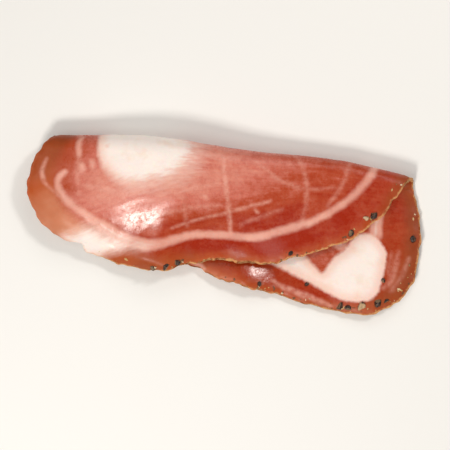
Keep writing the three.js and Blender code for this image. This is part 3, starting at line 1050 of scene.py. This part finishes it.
    # gloss, with beads of fat on the wrinkles
    gloss = swing(tree, mottle, 0.3, look["roughness"])
    for where, change in ((wrinkled, "wrinkleGloss"), (crustMask, "crustRoughness"),
                          (calculate(tree, "MAXIMUM", glow, fatMask), "softerRoughness")):
        gloss = timesPlus(tree, where, look[change], gloss)
    feed(tree, shader.inputs["Roughness"], gloss)
    beads = ramped(tree, made["beads"], 0.38, 0.56, 0.2, look["coat"])
    feed(tree, shader.inputs["Coat Weight"], times(tree, wrinkled, beads))
    for socket, value in (("Specular IOR Level", look["specular"]), ("Coat Roughness", look["coatRoughness"]),
                          ("Subsurface Weight", look["subsurface"]), ("Subsurface Radius", look["subsurfaceRadius"]),
                          ("Subsurface Scale", look["subsurfaceScale"] * mm)):
        shader.inputs[socket].default_value = value
    return material


# Pepper and crumbs, on Object coordinates in millimetres

pepperLook = {
    "husk": (0.024, 0.011, 0.007), "huskPale": (0.1, 0.045, 0.024), "core": (0.24, 0.14, 0.07),
    "corePale": (0.75, 0.52, 0.3), "roughness": 0.5,
}
crumbLook = {"brown": (0.16, 0.06, 0.02), "gold": (0.6, 0.36, 0.12), "cream": (0.8, 0.62, 0.42), "roughness": 0.5}


def objectPlace(tree):
    place = tree.nodes.new("ShaderNodeTexCoord")
    return stretched(tree, place.outputs["Object"], (1 / mm,) * 3)


def pepperMaterial():
    look = pepperLook
    material, tree, shader = freshMaterial("crackedPepper")
    place = objectPlace(tree)
    height, flecks = grain(tree, place, 3.0, 0.06)
    patch = cloud(tree, place, 1.6)
    husk = blend(tree, ramped(tree, patch, 0.45, 0.7), look["husk"], look["huskPale"])
    core = blend(tree, patch, look["core"], look["corePale"])
    worn = times(tree, attributeOf(tree, "shade"), ramped(tree, patch, 0.4, 0.55))
    bare = calculate(tree, "MAXIMUM", attributeOf(tree, "core"), worn)
    feed(tree, shader.inputs["Base Color"], blend(tree, bare, husk, core))
    feed(tree, shader.inputs["Normal"], bumped(tree, height))
    feed(tree, shader.inputs["Roughness"], swing(tree, flecks, 0.2, look["roughness"]))
    return material


def crumbMaterial():
    look = crumbLook
    material, tree, shader = freshMaterial("crustCrumbs")
    height, flecks = grain(tree, objectPlace(tree), 5.0, 0.03)
    shade = attributeOf(tree, "shade")
    colour = colourBand(tree, look, shade, [(0.2, "brown"), (0.55, "gold"), (0.9, "cream")])
    feed(tree, shader.inputs["Base Color"], blend(tree, flecks, colour, look["brown"]))
    feed(tree, shader.inputs["Normal"], bumped(tree, height))
    shader.inputs["Roughness"].default_value = look["roughness"]
    return material


def dress(piece, material):
    piece.data.materials.clear()
    piece.data.materials.append(material)
    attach(piece, "root")


# Floor, light and camera

stageLook = {
    "floorSize": 3, "floorUnder": 0.05, "floorColour": (0.87, 0.865, 0.85), "floorRoughness": 0.7,
    "worldColour": (1, 0.98, 0.96), "worldStrength": 0.19,
    "lens": 120, "sensor": 36, "nearest": 0.01, "frameWidth": 0.119,        # the frame's width at the slice
}
lamps = {        # place, size of its sides, power, colour
    "front": ((-0.136, -0.286, 0.363), (0.095, 0.095), 1.3, (1, 0.955, 0.89)),
    "glint": ((0.247, 0.201, 0.357), (0.07, 0.07), 0.65, (1, 0.965, 0.91)),
    "over": ((-0.167, -0.112, 0.452), (0.2, 0.2), 0.37, (1, 0.955, 0.89)),
    "soft": ((-0.107, 0.11, 0.463), (0.1, 0.1), 0.1, (1, 0.965, 0.91)),
    "back": ((0.12, 0.36, 0.32), (0.3, 0.2), 0.4, (1, 0.96, 0.92)),
}


def makeFloor():
    look = stageLook
    deselectAll()
    bpy.ops.mesh.primitive_plane_add(size=look["floorSize"], location=(0, 0, -look["floorUnder"] * mm))
    floor = bpy.context.object
    floor.name = "floor"
    material, _, shader = freshMaterial("paleFloor")
    shader.inputs["Base Color"].default_value = (*look["floorColour"], 1)
    shader.inputs["Roughness"].default_value = look["floorRoughness"]
    floor.data.materials.append(material)


def makeLight():
    look = stageLook
    world = bpy.data.worlds.new("studio")
    bpy.context.scene.world = world
    bpy.context.scene.view_settings.view_transform = "Standard"
    world.use_nodes = True
    sky = world.node_tree.nodes["Background"]
    sky.inputs["Color"].default_value = (*look["worldColour"], 1)
    sky.inputs["Strength"].default_value = look["worldStrength"]
    for name, (place, sides, power, colour) in lamps.items():
        bpy.ops.object.light_add(type="AREA", location=place)
        light = bpy.context.object
        light.name = name
        light.rotation_euler = (-Vector(place)).to_track_quat("-Z", "Y").to_euler()
        lamp = light.data
        lamp.shape = "RECTANGLE"
        lamp.size, lamp.size_y = sides
        lamp.energy, lamp.color = power, colour


def makeCamera():
    look = stageLook
    distance = look["frameWidth"] / 2 / (look["sensor"] / 2 / look["lens"])
    middle = (cadLow + cadHigh) / 2
    bpy.ops.object.camera_add(location=(middle.x, middle.y, distance), rotation=(0, 0, 0))
    camera = bpy.context.object
    camera.data.lens = look["lens"]
    camera.data.sensor_width = look["sensor"]
    camera.data.clip_start = look["nearest"]
    bpy.context.scene.camera = camera


makeCamera()
makeFloor()
makeLight()
print("stage: floor, light and camera")

slicePiece = makeSlice()
dress(slicePiece, meatMaterial())
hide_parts("coppa_slice")

dress(makePepper(), pepperMaterial())
dress(makeCrumbs(), crumbMaterial())
